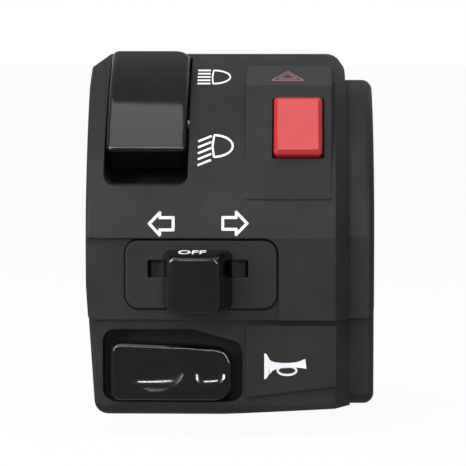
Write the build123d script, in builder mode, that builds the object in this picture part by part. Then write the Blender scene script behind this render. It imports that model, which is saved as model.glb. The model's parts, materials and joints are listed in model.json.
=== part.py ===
"""Left-hand motorcycle handlebar switch cluster.

Frame: X runs along the handlebar and points right, Y points away from the rider, Z up, in millimetres.
The origin is on the handlebar's axis, midway between the main housing's two sides. A depth is measured
from that axis towards the rider, so a point at depth d lies at Y = -d.
"""

import os
from math import atan2, cos, degrees, radians, sin, tan

from build123d import *

os.makedirs("parts", exist_ok=True)

# Handlebar and shared clearances
bar_radius = 11.1
slide_gap = 0.2
case_gap = 0.3
fit_gap = 0.05
overrun = 60.0

# Housing
half_width = 26.0
half_height = 34.3
front_depth = 31.2
rear_depth = 17.0
wall = 2.4
crease_rise = 6.0
crease_set_back = 1.2
brow_bulge = 4.0
step_drop = 15.7
step_depth = 1.6
front_draft_left = 1.0
side_draft_right = 0.6
rear_draft = 0.8
top_tuck_left = 0.4
top_tuck_right = 1.4
bottom_tuck_left = 2.6
bottom_lift = 1.6
top_corner_radius = 4.0
bottom_corner_radius = 3.0
shoulder_run = 3.4
shoulder_drop = 2.6
belly_radius = 2.4
rear_top_radius = 13.0
rear_bottom_radius = 4.0
bevel_width = 2.8
bevel_depth = 3.8
bevel_land = 0.6
edge_radius = 0.8
saddle_rib = 2.0
rib_pitch = 12.0
rib_shift = 1.0

# Collar at the inner end
collar_width = 4.1
collar_drop = 5.2
collar_inset = 4.2
collar_foot = 1.6
collar_rear_inset = 1.5
collar_radius = 2.0

# Beam rocker, in its own frame: local y runs up the slope, local z out of the face
rocker_width = 15.5
rocker_up_length = 13.9
rocker_down_length = 14.4
rocker_edge_height = 6.6
rocker_crown = 1.9
rocker_head_rise = 1.2
rocker_skirt = 4.7
rocker_head_skirt = 4.0
rocker_foot_flare = 0.5
rocker_head_tuck = 1.7
rocker_pitch = 4.5
rocker_shift = 4.5
rocker_proud = 1.5
rocker_wall = 1.8
rocker_corner_large = 3.0
rocker_corner_small = 1.4
rocker_edge_radius = 1.0
pivot_lobe_radius = 2.0
rocker_pin_radius = 1.0
rocker_pin_bite = 1.6
recess_side_gap = 0.35
recess_foot_gap = 2.5
recess_corner_radius = 2.2
recess_head_gap = 0.7
recess_floor_drop = 2.4
recess_rake = 36.0
bath_wall = 1.6
left_margin = 4.15

# Beam switch under the rocker
plunger_radius = 1.3
plunger_boss_wall = 1.1
plunger_reach = 5.4
plunger_length = 8.2
plunger_boss_low = 0.6
plunger_bore_depth = 5.6
plunger_tip_share = 0.6
beam_terminal_pitch = 4.4
beam_base_width = 11.0
beam_base_length = 14.0
beam_base_depth = 4.2
tray_wall = 1.2
contact_thickness = 0.5
contact_drop = 0.2
beam_contact_width = 3.2
terminal_width = 1.2
terminal_tail = 1.4

# Hazard pod and button, in the pod's frame
pod_right_margin = 4.0
pod_width = 16.8
pod_foot_rise = 7.3
pod_foot_set_back = 1.6
pod_ridge_drop = 5.7
pod_ridge_depth = 17.8
pod_top_drop = 2.2
pod_top_depth = 5.6
pod_edge_radius = 0.5
hazard_from_pod_left = 10.2
hazard_drop = 13.8
hazard_width = 9.3
hazard_length = 12.2
hazard_proud = 1.8
hazard_travel = 1.5
hazard_cap_depth = 6.0
hazard_corner_radius = 0.9
hazard_rim = 0.75
hazard_shoulder = 3.4
hazard_body_wall = 0.6
hazard_body_depth = 10.0
hazard_floor = 1.6
hazard_block_margin = 2.6
hazard_block_depth = 5.0
hazard_contact_offset = 4.4
hazard_contact_length = 7.0
hazard_contact_width = 1.6
hazard_terminal_pitch = 5.0
hazard_spring_shift = 1.5

# Turn signal slide
pocket_top_drop = 0.0
pocket_depth = 0.8
pocket_right = 11.9
pocket_corner_radius = 3.0
plate_width = 29.0
plate_height = 13.2
plate_left_margin = 7.5
plate_groove = 0.2
plate_seat_depth = 1.2
plate_proud = 0.5
plate_corner_radius = 2.6
plate_edge_radius = 0.4
slot_length = 19.2
slot_height = 3.5
slot_drop = 5.9
slot_shift = -0.6
slot_corner_radius = 0.5
turn_travel = 2.6
neck_drop = 0.8
flange_margin = 2.3
flange_lap = 1.8
flange_thickness = 2.0
slider_body_length = 13.0
slider_body_height = 6.6
slider_body_depth = 8.4
knob_stem_width = 6.0
knob_stem_height = 2.0
knob_stem_length = 7.5
turn_push = 1.5
knob_base_width = 13.2
knob_base_height = 11.4
knob_front_width = 9.4
knob_front_shift = -0.5
knob_front_height = 10.3
knob_height = 8.4
knob_crown = 1.6
knob_hang = 1.95
knob_corner_radius = 1.4
knob_edge_radius = 0.6
turn_pad_margin = 1.4
turn_base_wall = 1.4
turn_base_floor = 2.0
turn_ear_pitch = 16.0
detent_shift = 4.6
detent_ball_radius = 1.0
detent_bore_depth = 5.4
detent_proud = 0.8
detent_lift = 0.1
detent_dimple_radius = 1.2
detent_dimple_depth = 0.4
contact_shift = -3.6
turn_contact_length = 2.4
turn_contact_height = 4.8

# Horn button
horn_recess_left_margin = 4.1
horn_recess_width = 26.8
horn_recess_top_drop = 1.9
horn_recess_bottom = 2.7
horn_recess_slant = 2.7
horn_recess_depth = 4.4
horn_recess_radius = 2.4
horn_width = 23.2
horn_height_share = 0.8
horn_right_tuck_share = 0.107
horn_left_gap = 1.6
horn_bottom_gap = 0.4
horn_proud = 1.8
horn_thickness = 3.8
horn_left_radius = 1.8
horn_right_radius_share = 0.321
horn_edge_radius = 0.8
horn_travel = 2.0
horn_dish_half_length = 5.6
horn_dish_share = 0.33
horn_dish_depth = 1.0
horn_dish_from_left = 8.4
horn_dimple_from_right = 4.2
horn_dimple_share = 0.268
horn_dimple_depth = 0.7
horn_stem_width = 8.0
horn_stem_height = 4.0
horn_stem_length = 5.4
horn_base_width = 14.0
horn_base_height = 8.4
horn_base_depth = 9.4
horn_terminal_pitch = 8.2
panel_proud = 0.8
panel_gap = 0.8
panel_right_margin = 3.2
panel_top_drop = 1.1
panel_foot_rise = 3.7
panel_slant = 2.2

# Screws
case_screw_radius = 1.75
case_screw_head_radius = 3.2
case_screw_head_height = 2.2
case_screw_length = 14.0
case_post_radius = 3.4
case_screw_seat = 7.0
case_screw_tip_gap = 1.0
rear_post_wall = 1.2
screw_top_x = 1.2
screw_top_drop = 10.3
screw_low_x = 14.0
screw_foot_rise = 9.8
base_screw_radius = 0.7
base_screw_head_radius = 1.1
base_screw_head_height = 0.7
base_screw_bite = 1.2
ear_length = 2.6
ear_thickness = 1.4
screw_slot_share = 0.3
screw_arm_share = 0.65

# Cable outlet
cable_radius = 3.2
grommet_neck_wall = 1.5
grommet_flange = 1.3
grommet_flange_thickness = 1.5
grommet_lip = 2.6
outlet_left_margin = 12.0
outlet_set_back = 6.4

# Springs
spring_wire_radius = 0.15
spring_pitch = 0.9
cancel_spring_radius = 0.7
detent_spring_radius = 0.7
plunger_spring_radius = 0.9
button_spring_wire_radius = 0.25
button_spring_radius = 2.0
button_spring_pitch = 1.4


def facing(x, depth, rise, lift=0.0):
    """Plane at a depth and height whose normal points at the rider, turned up by lift degrees."""
    normal = (0, -cos(radians(lift)), sin(radians(lift)))
    return Plane(origin=(x, -depth, rise), x_dir=(1, 0, 0), z_dir=normal)


def local_point(plane, x, y, z):
    """A point of the plane's own frame in the part's frame."""
    return plane.from_local_coords(Vector(x, y, z))


def finish(piece, name):
    """Label a finished piece and write it."""
    piece.part.label = name
    export_step(piece.part, f"parts/{name}.step")


def box_between(plane, x0, x1, y0, y1, z0, z1, mode=Mode.ADD):
    """A block given by its limits in the plane's own frame."""
    with BuildSketch(plane.offset(z0)) as section:
        with Locations(((x0 + x1) / 2, (y0 + y1) / 2)):
            Rectangle(abs(x1 - x0), abs(y1 - y0))
    extrude(section.sketch, amount=z1 - z0, mode=mode)


def post_between(plane, x, y, radius, z0, z1, mode=Mode.ADD):
    """A round post given by its centre and ends in the plane's own frame."""
    with BuildSketch(plane.offset(z0)) as section:
        with Locations((x, y)):
            Circle(radius)
    extrude(section.sketch, amount=z1 - z0, mode=mode)


def coil(plane, coil_radius, wire_radius, pitch, z0, z1):
    """A compression spring round the plane's own z axis, whose wire stays between two heights."""
    height = z1 - z0 - 2 * wire_radius
    with BuildLine() as run:
        Helix(pitch=pitch, height=height, radius=coil_radius)
    path = plane.offset(z0 + wire_radius) * run.line
    with BuildSketch(Plane(origin=path @ 0, z_dir=path % 0)) as section:
        Circle(wire_radius)
    sweep(section.sketch, path=path)


# Places worked out from the sizes above
crease_depth = front_depth - crease_set_back
lower_depth = front_depth - step_depth
chord_lift = degrees(atan2(crease_depth, half_height - crease_rise))
chord_plane = facing(0, crease_depth / 2, (half_height + crease_rise) / 2, chord_lift)
front_plane = facing(0, 0, 0)

bevel_end = half_width - bevel_land
bevel_start = bevel_end - bevel_width

rocker_x = -half_width + left_margin + recess_side_gap + rocker_width / 2
rocker_crest = local_point(chord_plane, rocker_x, rocker_shift, brow_bulge + rocker_proud)
rocker_face = facing(rocker_x, -rocker_crest.Y, rocker_crest.Z, chord_lift + rocker_pitch)
rocker_plane = rocker_face.offset(-rocker_edge_height - rocker_crown)
rocker_side = Plane(origin=rocker_plane.origin, x_dir=rocker_plane.y_dir, z_dir=(1, 0, 0))
recess_right = rocker_width / 2 + recess_side_gap
recess_foot = -(rocker_down_length + rocker_foot_flare + recess_foot_gap)
recess_head = rocker_up_length + recess_head_gap
recess_low = local_point(rocker_plane, 0, recess_foot, 0).Z
bath_back = -recess_floor_drop - bath_wall
beam_base_back = bath_back - beam_base_depth
beam_tray_floor = beam_base_back + tray_wall
plunger_bore_top = plunger_boss_low + plunger_bore_depth
beam_terminal_places = (-beam_terminal_pitch, 0, beam_terminal_pitch)
beam_contact_top = -plunger_reach - contact_drop
beam_terminal_top = beam_contact_top - contact_thickness - contact_drop

pod_right = half_width - pod_right_margin
pod_left = pod_right - pod_width
pod_foot_depth = front_depth - pod_foot_set_back
pod_run = pod_foot_depth - pod_ridge_depth
pod_ridge_rise = half_height - pod_ridge_drop
pod_top_rise = half_height - pod_top_drop
pod_climb = pod_ridge_rise - pod_foot_rise
hazard_rise = half_height - hazard_drop
hazard_x = pod_left + hazard_from_pod_left
hazard_depth = pod_foot_depth - pod_run * (hazard_rise - pod_foot_rise) / pod_climb
hazard_plane = facing(hazard_x, hazard_depth, hazard_rise, degrees(atan2(pod_run, pod_climb)))
hazard_body_width = hazard_width + 2 * case_gap + 2 * hazard_body_wall
hazard_body_length = hazard_length + 2 * case_gap + 2 * hazard_body_wall
hazard_body_back = -hazard_shoulder - hazard_body_depth
hazard_tray_floor = hazard_body_back + hazard_floor
hazard_cap_back = hazard_proud - hazard_cap_depth
hazard_contact_back = hazard_cap_back - contact_thickness
hazard_terminal_places = (-hazard_terminal_pitch / 2, hazard_terminal_pitch / 2)
hazard_spring_seat = local_point(hazard_plane, 0, -hazard_spring_shift, hazard_tray_floor)
hazard_terminal_top = hazard_contact_back - hazard_travel - contact_drop

plate_x = -half_width + front_draft_left + plate_left_margin + plate_width / 2
plate_rise = -pocket_top_drop - 2 * plate_groove - plate_height / 2
pocket_floor = front_depth - pocket_depth
plate_front = pocket_floor + plate_proud
plate_back = pocket_floor - plate_seat_depth
slot_x = plate_x + slot_shift
slot_rise = -slot_drop
neck_length = slot_length - 2 * turn_travel - 2 * slide_gap
neck_height = slot_height - 2 * slide_gap
flange_length = neck_length + 2 * flange_margin
flange_height = neck_height + 2 * flange_lap
flange_front = plate_back - case_gap
flange_back = flange_front - flange_thickness
window_length = flange_length + 2 * turn_travel + 2 * case_gap
window_height = flange_height + 2 * case_gap
pad_back = flange_back - case_gap
slider_back = flange_back - slider_body_depth
ball_depth = slider_back - detent_proud + detent_ball_radius
turn_floor_top = slider_back - detent_proud - detent_lift
turn_base_back = turn_floor_top - turn_base_floor
turn_contact_back = slider_back - contact_thickness
turn_cavity_length = slider_body_length + 2 * turn_travel + 2 * case_gap
turn_cavity_height = slider_body_height + 2 * case_gap
turn_base_length = turn_cavity_length + 2 * turn_base_wall
turn_base_height = turn_cavity_height + 2 * turn_base_wall
turn_ear_rise = slot_rise - turn_base_height / 2 - ear_length / 2
knob_back = plate_front + turn_push + case_gap
knob_rise = slot_rise - knob_hang
knob_stem_end = knob_back - knob_stem_length
cancel_spring_back = slider_back + tray_wall
cancel_bore_radius = cancel_spring_radius + spring_wire_radius + fit_gap

horn_recess_left = -half_width + horn_recess_left_margin
horn_recess_right = horn_recess_left + horn_recess_width
horn_recess_top = -step_drop - horn_recess_top_drop
horn_recess_low = -half_height + horn_recess_bottom
horn_floor = lower_depth - horn_recess_depth
horn_left = horn_recess_left + horn_left_gap
horn_right = horn_left + horn_width
horn_low = horn_recess_low + horn_bottom_gap
horn_height = (horn_recess_top - horn_recess_low) * horn_height_share
horn_top = horn_low + horn_height
horn_right_tuck = horn_height * horn_right_tuck_share
horn_right_radius = horn_height * horn_right_radius_share
horn_dish_half_height = horn_height * horn_dish_share
horn_dimple_radius = horn_height * horn_dimple_share
horn_front = lower_depth + horn_proud
horn_back = horn_front - horn_thickness
horn_x = (horn_left + horn_right) / 2
horn_dish_short = (horn_dish_half_height**2 + horn_dish_depth**2) / (2 * horn_dish_depth)
horn_middle = (horn_low + horn_top) / 2
horn_base_front = horn_floor - bath_wall
horn_base_back = horn_base_front - horn_base_depth
horn_stem_end = horn_back - horn_stem_length
horn_contact_back = horn_stem_end - contact_thickness
horn_tray_floor = horn_base_back + 2 * tray_wall
horn_terminal_places = (-horn_terminal_pitch / 2, horn_terminal_pitch / 2)
horn_dish_x = horn_left + horn_dish_from_left
horn_dimple_x = horn_right - horn_dimple_from_right
horn_dish_lift = horn_dish_short - horn_dish_depth
horn_dish_long = horn_dish_half_length * horn_dish_short / horn_dish_half_height
horn_dimple_ball = (horn_dimple_radius**2 + horn_dimple_depth**2) / (2 * horn_dimple_depth)
horn_terminal_top = horn_contact_back - horn_travel - contact_drop
horn_rise = (horn_recess_low + horn_recess_top) / 2
horn_plane = Plane(origin=(horn_x, 0, horn_rise), x_dir=(1, 0, 0), z_dir=(0, -1, 0))

outlet_x = -half_width + outlet_left_margin
grommet_neck_radius = cable_radius + grommet_neck_wall
grommet_radius = grommet_neck_radius + grommet_flange
grommet_top = -half_height + wall + grommet_flange_thickness
rear_post_radius = case_screw_head_radius + case_gap + rear_post_wall
case_screws_at = ((screw_top_x, half_height - screw_top_drop), (screw_low_x, screw_foot_rise - half_height))


def near_vertex(vertices, x, y):
    """The vertex of a sketch nearest to a point."""
    return vertices.sort_by_distance((x, y))[0]


def round_corner(face, x, y, radius):
    """Round the corner of a sketch nearest to a point, unless the radius has shrunk away."""
    if radius > fit_gap:
        fillet(near_vertex(face.vertices(), x, y), radius=radius)


def side_sketch(start, front, top, foot, rear, radius_loss):
    """The housing seen from its side, drawn inside its outer profile by four insets."""
    with BuildSketch(Plane.YZ.offset(start)) as face:
        with BuildLine():
            brow = SagittaArc((-crease_depth + front, crease_rise), (0, half_height - top), brow_bulge)
            Polyline(
                brow @ 1,
                (rear_depth - rear, half_height - top),
                (rear_depth - rear, -half_height + foot),
                (-lower_depth + front, -half_height + foot),
                (-lower_depth + front, -step_drop),
                (-front_depth + front, -step_drop),
                (-front_depth + front, -pocket_top_drop),
                brow @ 0,
            )
        make_face()
        round_corner(face, rear_depth - rear, half_height - top, rear_top_radius - radius_loss)
        round_corner(face, rear_depth - rear, -half_height + foot, rear_bottom_radius - radius_loss)
        round_corner(face, -lower_depth + front, -half_height + foot, belly_radius - radius_loss)
    return face.sketch


def outline_sketch(inset):
    """The main housing seen from the front, drawn inside its outer outline by an inset."""
    with BuildSketch(front_plane.offset(front_depth)) as face:
        with BuildLine():
            Polyline(
                (-half_width + inset, crease_rise),
                (-half_width + top_tuck_left + inset, half_height - shoulder_drop - inset / 2),
                (-half_width + top_tuck_left + shoulder_run + inset / 3, half_height - inset),
                (half_width - top_tuck_right - inset, half_height - inset),
                (half_width - inset, -half_height + bottom_lift + inset),
                (0, -half_height + inset),
                (-half_width + bottom_tuck_left + inset, -half_height + inset),
                close=True,
            )
        make_face()
        round_corner(face, half_width, half_height, top_corner_radius - inset)
        round_corner(face, -half_width, -half_height, bottom_corner_radius - inset)
    return face.sketch


def plan_sketch(inset):
    """The main housing seen from above, which gives its sides their draft."""
    with BuildSketch(Plane.XY.offset(-half_height)) as face:
        with BuildLine():
            Polyline(
                (-half_width + inset, 0),
                (-half_width + front_draft_left + inset, -front_depth),
                (half_width - side_draft_right - inset, -front_depth),
                (half_width - inset, 0),
                (half_width - rear_draft - inset, rear_depth),
                (-half_width + rear_draft + inset, rear_depth),
                close=True,
            )
        make_face()
    return face.sketch


def bevelled_sketch(start):
    """The main housing's side profile where its bevel towards the collar ends."""
    return side_sketch(start, bevel_depth, bevel_depth, 0, 0, 0)


def collar_sketch(inset, start):
    """The collar's side profile."""
    front = collar_inset + inset
    return side_sketch(start, front, collar_drop + inset, collar_foot + inset, collar_rear_inset + inset,
                       inset)


def bath_sketch(start, margin):
    """The beam rocker's recess seen from its side, with its raked foot wall, grown by a margin."""
    floor = -recess_floor_drop - margin
    rise = overrun - floor
    with BuildSketch(rocker_side.offset(start)) as face:
        with BuildLine():
            Polyline(
                (recess_foot - margin, floor),
                (recess_head + margin, floor),
                (recess_head + margin, floor + rise),
                (recess_foot - margin - rise * tan(radians(recess_rake)), floor + rise),
                close=True,
            )
        make_face()
    return face.sketch


def horn_recess_sketch(depth, margin):
    """The horn button's recess seen from the front, grown by a margin."""
    with BuildSketch(front_plane.offset(depth)) as face:
        with BuildLine():
            Polyline(
                (horn_recess_left, horn_recess_low),
                (horn_recess_left, horn_recess_top),
                (horn_x + horn_stem_width / 2, horn_recess_top),
                (horn_recess_right, horn_recess_top - horn_recess_slant),
                (horn_recess_right, horn_recess_low),
                close=True,
            )
        make_face()
        fillet(face.vertices().group_by(Axis.X)[0], radius=horn_recess_radius)
        fillet(face.vertices().group_by(Axis.X)[-1], radius=horn_recess_radius)
        if margin > 0:
            offset(amount=margin)
    return face.sketch


def pod_sketch():
    """The hazard pod seen from its side."""
    with BuildSketch(Plane.YZ.offset(pod_left)) as face:
        with BuildLine():
            Polyline(
                (-pod_foot_depth, pod_foot_rise),
                (-pod_ridge_depth, pod_ridge_rise),
                (-pod_top_depth, pod_top_rise),
                (-pod_top_depth, pod_foot_rise),
                close=True,
            )
        make_face()
    return face.sketch


def cross_recess(plane, x, y, radius, z0, z1):
    """The cross-shaped driver recess of a screw head."""
    arm = radius * screw_slot_share
    box_between(plane, x - radius * screw_arm_share, x + radius * screw_arm_share, y - arm / 2, y + arm / 2,
                z0, z1, Mode.SUBTRACT)
    box_between(plane, x - arm / 2, x + arm / 2, y - radius * screw_arm_share, y + radius * screw_arm_share,
                z0, z1, Mode.SUBTRACT)


def tray_ears(plane, places, front):
    """Round ears that screw a switch base to the case, with their holes."""
    for x, y in places:
        box_between(plane, x - ear_length / 2, x + ear_length / 2, y - ear_length / 2, y + ear_length / 2,
                    front - ear_thickness, front)
    for x, y in places:
        post_between(plane, x, y, base_screw_radius, front - ear_thickness, front, Mode.SUBTRACT)


def base_screws_in(plane, places, front):
    """The screws through a base's ears, driven from behind."""
    back = front - ear_thickness
    for x, y in places:
        post_between(plane, x, y, base_screw_head_radius, back - base_screw_head_height, back)
        post_between(plane, x, y, base_screw_radius, back, front + base_screw_bite)


beam_ear_places = [(side * (beam_base_width + ear_length) / 2, 0) for side in (-1, 1)]
hazard_ear_places = [(0, side * (hazard_body_length + ear_length) / 2) for side in (-1, 1)]
turn_ear_places = [(slot_x + side * turn_ear_pitch / 2, turn_ear_rise) for side in (-1, 1)]
horn_ear_places = [(side * (horn_base_width + ear_length) / 2, 0) for side in (-1, 1)]
base_mounts = (
    (rocker_plane, beam_ear_places, bath_back),
    (hazard_plane, hazard_ear_places, -hazard_block_depth),
    (front_plane, turn_ear_places, pad_back),
    (horn_plane, horn_ear_places, horn_base_front),
)

# Outer shape of the whole housing, before it is hollowed and split
with BuildPart() as housing:
    extrude(side_sketch(-half_width, 0, 0, 0, 0, 0), amount=bevel_start + half_width)
    loft([side_sketch(bevel_start, 0, 0, 0, 0, 0), bevelled_sketch(bevel_end)], ruled=True)
    extrude(bevelled_sketch(bevel_end), amount=half_width - bevel_end)
    extrude(outline_sketch(0), amount=-front_depth - rear_depth, mode=Mode.INTERSECT)
    extrude(plan_sketch(0), amount=2 * half_height, mode=Mode.INTERSECT)
    left_limit = -half_width + bottom_tuck_left + front_draft_left
    left_edges = [
        edge
        for edge in housing.edges()
        if edge.center().X < left_limit and edge.center().Y < -bar_radius / 2
    ]
    fillet(left_edges, radius=edge_radius)
    with BuildPart(mode=Mode.PRIVATE) as collar:
        extrude(collar_sketch(0, 0), amount=half_width + collar_width)
        end_edges = collar.edges().group_by(Axis.X)[-1]
        fillet([e for e in end_edges if e.center().Y < -bar_radius or e.center().Z > bar_radius],
               radius=collar_radius)
    add(collar.part)
    with BuildPart(mode=Mode.PRIVATE) as pod:
        extrude(pod_sketch(), amount=pod_width)
        pod_edges = pod.edges().filter_by(lambda e: e.center().Z > pod_foot_rise + pod_edge_radius)
        pod_edges = pod_edges.filter_by(lambda e: e.center().Y < -pod_top_depth - pod_edge_radius)
        fillet(pod_edges, radius=pod_edge_radius)
    add(pod.part)

# Space inside the housing, less the pockets, posts and pads that stand in it
with BuildPart() as cavity:
    extrude(side_sketch(-half_width + wall, wall, wall, wall, wall, wall),
            amount=bevel_start + half_width - wall)
    extrude(outline_sketch(wall), amount=-front_depth - rear_depth, mode=Mode.INTERSECT)
    extrude(plan_sketch(wall), amount=2 * half_height, mode=Mode.INTERSECT)
    extrude(collar_sketch(wall, 0), amount=half_width + collar_width - wall)
    extrude(bath_sketch(-half_width - rocker_x, bath_wall),
            amount=half_width + rocker_x + recess_right + bath_wall, mode=Mode.SUBTRACT)
    extrude(horn_recess_sketch(horn_base_front, bath_wall), amount=overrun, mode=Mode.SUBTRACT)
    box_between(
        front_plane,
        plate_x - plate_width / 2 - turn_pad_margin,
        plate_x + plate_width / 2 + turn_pad_margin,
        plate_rise - plate_height / 2 - turn_pad_margin,
        plate_rise + plate_height / 2 + turn_pad_margin,
        pad_back,
        front_depth,
        Mode.SUBTRACT,
    )
    box_between(
        hazard_plane,
        -hazard_body_width / 2 - hazard_block_margin,
        hazard_body_width / 2 + hazard_block_margin,
        -hazard_body_length / 2 - ear_length - hazard_block_margin,
        hazard_body_length / 2 + ear_length + hazard_block_margin,
        -hazard_block_depth,
        hazard_proud,
        Mode.SUBTRACT,
    )
    for x, y in case_screws_at:
        post_between(front_plane, x, y, case_post_radius, 0, front_depth, Mode.SUBTRACT)
        post_between(front_plane, x, y, rear_post_radius, -rear_depth, 0, Mode.SUBTRACT)
    for side in (-1, 1):
        rib_x = rib_shift + side * rib_pitch / 2
        rib_half = saddle_rib / 2
        box_between(front_plane, rib_x - rib_half, rib_x + rib_half, -half_height, half_height,
                    -rear_depth, 0, Mode.SUBTRACT)

# Beam rocker's recess, rounded at the two lower corners of its mouth
with BuildPart() as recess:
    extrude(bath_sketch(-recess_right, 0), amount=2 * recess_right)
    with BuildSketch(front_plane) as mouth:
        with Locations((rocker_x, recess_low + overrun / 2)):
            RectangleRounded(2 * recess_right, overrun, recess_corner_radius)
    extrude(mouth.sketch, amount=front_depth, mode=Mode.INTERSECT)

# Front case
with BuildPart() as front_case:
    add(housing.part)
    split(bisect_by=Plane.XZ, keep=Keep.TOP)
    add(cavity.part, mode=Mode.SUBTRACT)
    post_between(Plane.YZ, 0, 0, bar_radius, -overrun, overrun, Mode.SUBTRACT)
    # Beam rocker's recess, its pins' hole and the window for the plunger
    add(recess.part, mode=Mode.SUBTRACT)
    pin_end = recess_right + rocker_pin_bite
    post_between(rocker_side, 0, 0, rocker_pin_radius, -pin_end, pin_end, Mode.SUBTRACT)
    box_between(
        rocker_plane,
        -beam_base_width / 2 + tray_wall,
        beam_base_width / 2 - tray_wall,
        -beam_base_length / 2 + tray_wall,
        beam_base_length / 2 - tray_wall,
        bath_back,
        0,
        Mode.SUBTRACT,
    )
    # Hazard button's hole and the pocket for its body
    box_between(
        hazard_plane,
        -hazard_width / 2 - case_gap,
        hazard_width / 2 + case_gap,
        -hazard_length / 2 - case_gap,
        hazard_length / 2 + case_gap,
        -hazard_shoulder,
        overrun,
        Mode.SUBTRACT,
    )
    box_between(
        hazard_plane,
        -hazard_body_width / 2 - fit_gap,
        hazard_body_width / 2 + fit_gap,
        -hazard_body_length / 2 - fit_gap,
        hazard_body_length / 2 + fit_gap,
        hazard_body_back,
        -hazard_shoulder,
        Mode.SUBTRACT,
    )
    for x, y in hazard_ear_places:
        ear_room = ear_length / 2 + case_gap
        box_between(hazard_plane, x - ear_room, x + ear_room, y - ear_room, y + ear_room,
                    -hazard_block_depth - 2 * ear_thickness, -hazard_block_depth, Mode.SUBTRACT)
    # Turn signal pocket, the plate's seat and the window behind it
    with BuildSketch(front_plane.offset(pocket_floor)) as pocket:
        with Locations(((pocket_right - overrun) / 2, -(pocket_top_drop + overrun) / 2)):
            Rectangle(pocket_right + overrun, overrun - pocket_top_drop)
        round_corner(pocket, pocket_right, -pocket_top_drop, pocket_corner_radius)
        with Locations((pocket_right / 2, -step_drop - overrun)):
            Rectangle(2 * overrun, 2 * overrun, mode=Mode.SUBTRACT)
    extrude(pocket.sketch, amount=pocket_depth + overrun, mode=Mode.SUBTRACT)
    with BuildSketch(front_plane.offset(plate_back)) as seat:
        with Locations((plate_x, plate_rise)):
            RectangleRounded(
                plate_width + 2 * plate_groove, plate_height + 2 * plate_groove,
                plate_corner_radius + plate_groove
            )
    extrude(seat.sketch, amount=overrun, mode=Mode.SUBTRACT)
    box_between(
        front_plane,
        slot_x - window_length / 2,
        slot_x + window_length / 2,
        slot_rise - window_height / 2,
        slot_rise + window_height / 2,
        pad_back,
        plate_back,
        Mode.SUBTRACT,
    )
    # Horn button's recess, the hole for its stem and the raised panel beside it
    extrude(horn_recess_sketch(horn_floor, 0), amount=overrun, mode=Mode.SUBTRACT)
    box_between(
        horn_plane,
        -horn_stem_width / 2 - case_gap,
        horn_stem_width / 2 + case_gap,
        -horn_stem_height / 2 - case_gap,
        horn_stem_height / 2 + case_gap,
        horn_base_front,
        horn_floor,
        Mode.SUBTRACT,
    )
    with BuildSketch(front_plane.offset(lower_depth - panel_proud)) as panel:
        with BuildLine():
            Polyline(
                (horn_recess_right + panel_gap, -step_drop - panel_top_drop),
                (half_width - panel_right_margin, -step_drop - panel_top_drop),
                (half_width - panel_right_margin, -half_height + panel_foot_rise + panel_slant),
                (horn_recess_right + panel_gap, -half_height + panel_foot_rise),
                close=True,
            )
        make_face()
    extrude(panel.sketch, amount=2 * panel_proud)
    # Screw holes
    for x, y in case_screws_at:
        tip = case_screw_length - case_screw_seat + case_screw_tip_gap
        post_between(front_plane, x, y, case_screw_radius, 0, tip, Mode.SUBTRACT)
    for plane, places, front in base_mounts:
        for x, y in places:
            post_between(plane, x, y, base_screw_radius, front, front + base_screw_bite, Mode.SUBTRACT)
finish(front_case, "front_case")

# Rear case
with BuildPart() as rear_case:
    add(housing.part)
    split(bisect_by=Plane.XZ, keep=Keep.BOTTOM)
    add(cavity.part, mode=Mode.SUBTRACT)
    post_between(Plane.YZ, 0, 0, bar_radius, -overrun, overrun, Mode.SUBTRACT)
    for x, y in case_screws_at:
        post_between(front_plane, x, y, case_screw_radius, -overrun, 0, Mode.SUBTRACT)
        post_between(front_plane, x, y, case_screw_head_radius + case_gap, -overrun, -case_screw_seat,
                     Mode.SUBTRACT)
    post_between(Plane.XY, outlet_x, outlet_set_back, grommet_neck_radius, -half_height,
                 grommet_top, Mode.SUBTRACT)
    post_between(Plane.XY, outlet_x, outlet_set_back, grommet_radius + case_gap, -half_height + wall,
                 grommet_top + case_gap, Mode.SUBTRACT)
finish(rear_case, "rear_case")

with BuildPart() as case_screws:
    for x, y in case_screws_at:
        post_between(front_plane, x, y, case_screw_radius, -case_screw_seat,
                     case_screw_length - case_screw_seat)
        head_back = -case_screw_seat - case_screw_head_height
        post_between(front_plane, x, y, case_screw_head_radius, head_back, -case_screw_seat)
        cross_recess(front_plane, x, y, case_screw_head_radius, head_back,
                     head_back + case_screw_head_height / 2)
finish(case_screws, "case_screws")

with BuildPart() as base_screws:
    for plane, places, front in base_mounts:
        base_screws_in(plane, places, front)
finish(base_screws, "base_screws")

# Cable outlet
with BuildPart() as cable_grommet:
    low = -half_height - grommet_flange_thickness - grommet_lip
    outlet_plane = Plane(origin=(outlet_x, outlet_set_back, 0), x_dir=(1, 0, 0), z_dir=(0, -1, 0))
    with BuildSketch(outlet_plane) as ring:
        with BuildLine():
            Polyline(
                (cable_radius, grommet_top),
                (grommet_radius, grommet_top),
                (grommet_radius, -half_height + wall),
                (grommet_neck_radius, -half_height + wall),
                (grommet_neck_radius, -half_height),
                (grommet_radius, -half_height),
                (grommet_radius, -half_height - grommet_flange_thickness),
                (grommet_neck_radius, low),
                (cable_radius, low),
                close=True,
            )
        make_face()
    revolve(ring.sketch, axis=Axis((outlet_x, outlet_set_back, 0), (0, 0, 1)))
finish(cable_grommet, "cable_grommet")

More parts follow.
